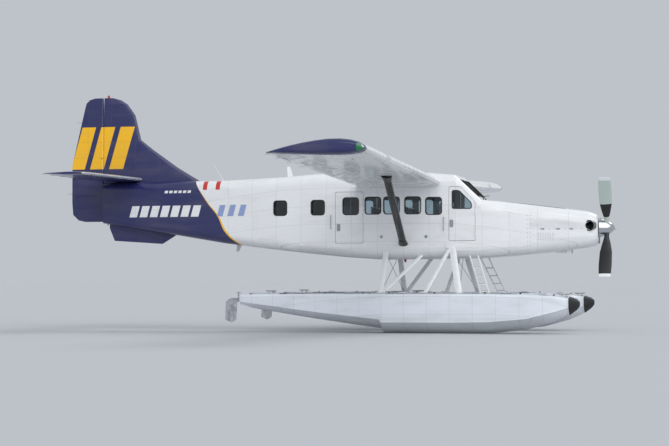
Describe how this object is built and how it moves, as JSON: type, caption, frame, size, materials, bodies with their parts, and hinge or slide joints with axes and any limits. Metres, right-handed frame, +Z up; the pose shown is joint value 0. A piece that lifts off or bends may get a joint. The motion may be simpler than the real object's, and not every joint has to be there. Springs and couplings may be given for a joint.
{
  "type": "turbine floatplane",
  "caption": "High-wing turbine utility aircraft on straight twin floats, with a hollow cabin, opening doors and moving control surfaces.",
  "frame": {"origin": "middle of the overall box, on the line of the float keels", "axes": "+X forward to the spinner, +Y to the left wing tip, +Z up"},
  "size_m": [13.23, 17.684, 5.64],
  "materials": {
    "white_paint": "glossy white aircraft enamel",
    "navy_paint": "glossy dark navy enamel",
    "black_paint": "satin black enamel",
    "float_paint": "satin pale grey enamel on sheet aluminium",
    "blade_paint": "satin black blade paint with pale leading faces",
    "polished_metal": "polished bare metal",
    "engine_metal": "dark bare metal",
    "acrylic": "clear acrylic, lightly tinted",
    "seat_fabric": "woven dark blue-grey upholstery",
    "panel_plastic": "matte black",
    "black_rubber": "moulded black rubber"
  },
  "bodies": {
    "airframe": {"cowling": "white_paint", "exhaust_left": "polished_metal", "exhaust_right": "polished_metal", "oil_cooler_scoop": "white_paint", "engine": "engine_metal", "nose_deck": "white_paint", "windscreen_frame": "white_paint", "cabin_roof": "white_paint", "pitot_head": "polished_metal", "bow_bumper_left": "black_rubber", "bow_bumper_right": "black_rubber", "cabin_floor": "white_paint", "cabin_wall_left": "white_paint", "cabin_wall_right": "white_paint", "rear_bulkhead": "white_paint", "windscreen": "acrylic", "cabin_glass_left": "acrylic", "cabin_glass_right": "acrylic", "instrument_panel": "panel_plastic", "crew_seats": "seat_fabric", "cabin_seats": "seat_fabric", "tail_cone": "navy_paint", "fin": "navy_paint", "tailplane_left": "navy_paint", "tailplane_right": "navy_paint", "wing_left": "white_paint", "wing_right": "white_paint", "wing_strut_left": "black_paint", "wing_strut_right": "black_paint", "float_left": "float_paint", "float_right": "float_paint", "front_float_strut_left": "float_paint", "front_float_strut_right": "float_paint", "rear_float_strut_left": "float_paint", "rear_float_strut_right": "float_paint", "front_spreader_bar": "float_paint", "rear_spreader_bar": "float_paint", "boarding_ladder_left": "white_paint", "boarding_ladder_right": "white_paint"},
    "propeller": {"propeller": "blade_paint", "spinner": "polished_metal"},
    "rudder": {"rudder": "navy_paint"},
    "elevator": {"elevator_left": "navy_paint", "elevator_right": "navy_paint"},
    "aileron_left": {"aileron_left": "white_paint"},
    "aileron_right": {"aileron_right": "white_paint"},
    "flap_left": {"flap_left": "white_paint"},
    "flap_right": {"flap_right": "white_paint"},
    "water_rudder_left": {"water_rudder_left": "float_paint"},
    "water_rudder_right": {"water_rudder_right": "float_paint"},
    "crew_door_left": {"crew_door_left": "white_paint", "crew_door_pane_left": "acrylic"},
    "crew_door_right": {"crew_door_right": "white_paint", "crew_door_pane_right": "acrylic"},
    "cabin_door_forward": {"cabin_door_forward": "white_paint", "cabin_door_forward_pane": "acrylic"},
    "cabin_door_aft": {"cabin_door_aft": "white_paint", "cabin_door_aft_pane": "acrylic"},
    "cabin_door_right": {"cabin_door_right": "white_paint", "cabin_door_right_pane": "acrylic"}
  },
  "joints": [
    {"name": "propeller_spin", "type": "hinge", "parent": "airframe", "child": "propeller", "pos_m": [6.44, 0, 2.4], "axis": [1, 0, 0], "continuous": true},
    {"name": "rudder_turn", "type": "hinge", "parent": "airframe", "child": "rudder", "pos_m": [-5.835, 0, 4], "axis": [0, 0, 1], "range_deg": [-25, 25]},
    {"name": "elevator_turn", "type": "hinge", "parent": "airframe", "child": "elevator", "pos_m": [-5.635, 0, 3.64], "axis": [0, 1, 0], "range_deg": [-15, 28]},
    {"name": "aileron_left_turn", "type": "hinge", "parent": "airframe", "child": "aileron_left", "pos_m": [1.06886, 6.90065, 3.53171], "axis": [0, 0.9994, 0.0349], "range_deg": [-22, 22]},
    {"name": "aileron_right_turn", "type": "hinge", "parent": "airframe", "child": "aileron_right", "pos_m": [1.06886, -6.90065, 3.53171], "axis": [0, 0.9994, -0.0349], "range_deg": [-22, 22]},
    {"name": "flap_left_turn", "type": "hinge", "parent": "airframe", "child": "flap_left", "pos_m": [1.11069, 3.00483, 3.34406], "axis": [0, 0.9994, 0.0349], "range_deg": [-50, 0]},
    {"name": "flap_right_turn", "type": "hinge", "parent": "airframe", "child": "flap_right", "pos_m": [1.11069, -3.00483, 3.34406], "axis": [0, 0.9994, -0.0349], "range_deg": [-50, 0]},
    {"name": "water_rudder_left_turn", "type": "hinge", "parent": "airframe", "child": "water_rudder_left", "pos_m": [-1.915, 1.55, 0.74], "axis": [0, 0, 1], "range_deg": [-30, 30]},
    {"name": "water_rudder_right_turn", "type": "hinge", "parent": "airframe", "child": "water_rudder_right", "pos_m": [-1.915, -1.55, 0.74], "axis": [0, 0, 1], "range_deg": [-30, 30]},
    {"name": "crew_door_left_swing", "type": "hinge", "parent": "airframe", "child": "crew_door_left", "pos_m": [3.501, 0.7743, 2.4], "axis": [0, 0, -1], "range_deg": [0, 75]},
    {"name": "crew_door_right_swing", "type": "hinge", "parent": "airframe", "child": "crew_door_right", "pos_m": [3.501, -0.7743, 2.4], "axis": [0, 0, 1], "range_deg": [0, 75]},
    {"name": "cabin_door_forward_swing", "type": "hinge", "parent": "airframe", "child": "cabin_door_forward", "pos_m": [1.346, 0.836, 2.4], "axis": [0, 0, -1], "range_deg": [0, 95]},
    {"name": "cabin_door_aft_swing", "type": "hinge", "parent": "airframe", "child": "cabin_door_aft", "pos_m": [0.219, 0.83436, 2.4], "axis": [0, 0, 1], "range_deg": [0, 110]},
    {"name": "cabin_door_right_swing", "type": "hinge", "parent": "airframe", "child": "cabin_door_right", "pos_m": [0.881, -0.836, 2.4], "axis": [0, 0, 1], "range_deg": [0, 95]}
  ],
  "couplings": [
    {"joint": "aileron_right_turn", "follows": "aileron_left_turn", "ratio": -1},
    {"joint": "flap_right_turn", "follows": "flap_left_turn", "ratio": 1},
    {"joint": "water_rudder_left_turn", "follows": "rudder_turn", "ratio": 1.2},
    {"joint": "water_rudder_right_turn", "follows": "rudder_turn", "ratio": 1.2}
  ]
}
